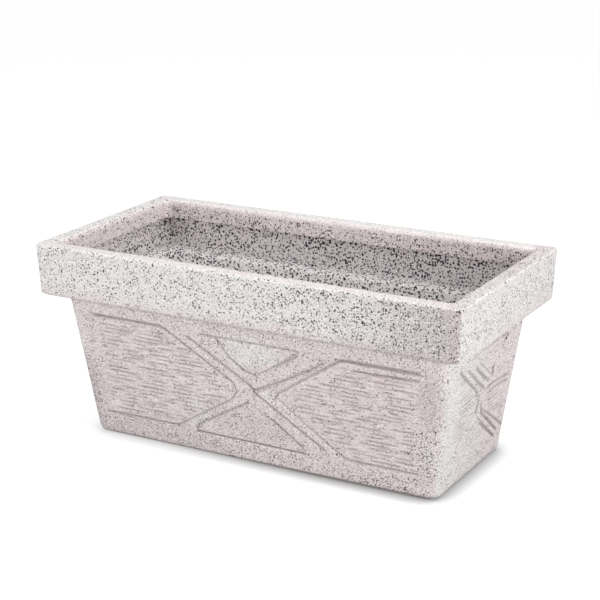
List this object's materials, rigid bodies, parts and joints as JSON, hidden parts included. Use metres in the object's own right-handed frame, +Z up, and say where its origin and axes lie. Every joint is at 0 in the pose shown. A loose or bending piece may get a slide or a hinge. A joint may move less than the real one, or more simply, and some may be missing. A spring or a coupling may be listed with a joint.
{
  "type": "rectangular planter",
  "caption": "Rectangular free-standing planter trough with a folded rim, tapered walls with moulded relief, and push-in drain plugs.",
  "frame": {"origin": "middle of the foot, on the surface that the planter stands on", "axes": "+X along the length, +Y towards the back long wall, +Z up"},
  "size_m": [0.7996, 0.3996, 0.353],
  "materials": {
    "speckled_polyethylene": "matt, pale pinkish grey with dark speckles like granite, finer on the outside than on the free inner side",
    "plug_polyethylene": "plain black, slightly satin"
  },
  "bodies": {
    "shell": {"planter_shell": "speckled_polyethylene"},
    "plug_front_left": {"drain_plug_front_left": "plug_polyethylene"},
    "plug_front_right": {"drain_plug_front_right": "plug_polyethylene"},
    "plug_back_left": {"drain_plug_back_left": "plug_polyethylene"},
    "plug_back_right": {"drain_plug_back_right": "plug_polyethylene"}
  },
  "joints": [
    {"name": "lift_plug_front_left", "type": "slide", "parent": "shell", "child": "plug_front_left", "axis": [0, 0, 1], "range_m": [0, 0.4]},
    {"name": "lift_plug_front_right", "type": "slide", "parent": "shell", "child": "plug_front_right", "axis": [0, 0, 1], "range_m": [0, 0.4]},
    {"name": "lift_plug_back_left", "type": "slide", "parent": "shell", "child": "plug_back_left", "axis": [0, 0, 1], "range_m": [0, 0.4]},
    {"name": "lift_plug_back_right", "type": "slide", "parent": "shell", "child": "plug_back_right", "axis": [0, 0, 1], "range_m": [0, 0.4]}
  ]
}
